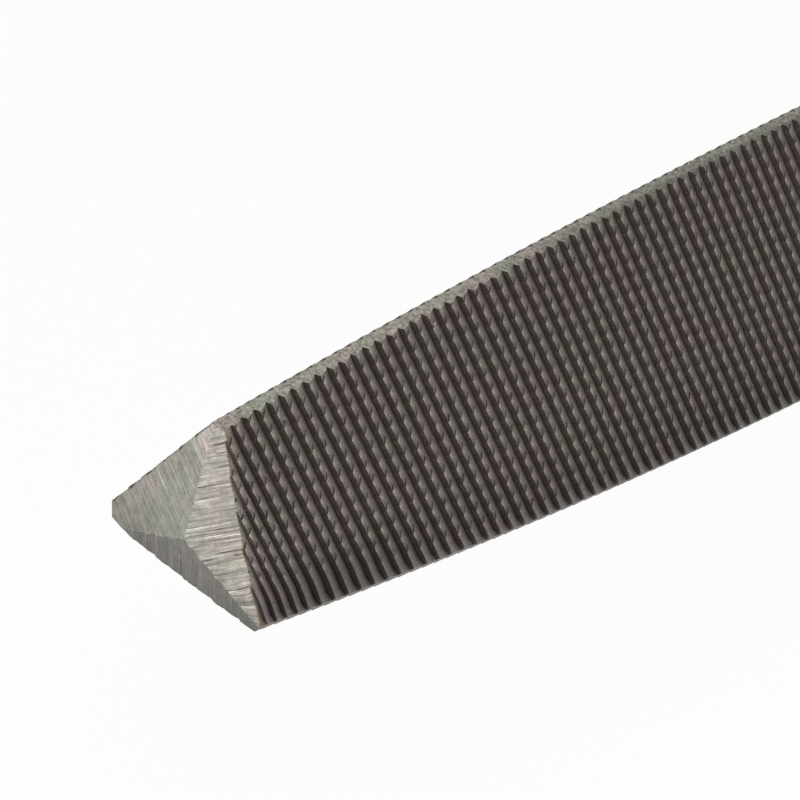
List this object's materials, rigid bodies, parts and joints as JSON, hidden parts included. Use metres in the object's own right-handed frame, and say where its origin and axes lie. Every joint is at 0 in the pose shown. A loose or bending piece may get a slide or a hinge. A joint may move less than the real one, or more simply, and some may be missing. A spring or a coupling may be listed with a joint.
{
  "type": "triangular file",
  "caption": "Tapered three-sided hand file with cut teeth, flattened edges and a ground tip, its tang held in a turned wooden handle with a steel ferrule.",
  "frame": {"origin": "middle of the flat end face of the handle's butt, on the file's axis", "axes": "+X along the file's axis from the butt to the tip, +Z from the axis to the edge between the two upper cut faces, so that the third cut face looks straight down, +Y completes the right-handed frame"},
  "size_m": [0.2592, 0.0264, 0.0264],
  "materials": {
    "file_steel": "hardened and sandblasted dark grey on the cut faces, freshly ground bright on the tip",
    "ferrule_steel": "drawn and plated steel tube, satin",
    "handle_wood": "turned beech under a thin clear lacquer"
  },
  "bodies": {
    "root": {"file_blade": "file_steel", "ferrule": "ferrule_steel", "handle": "handle_wood"}
  },
  "joints": []
}
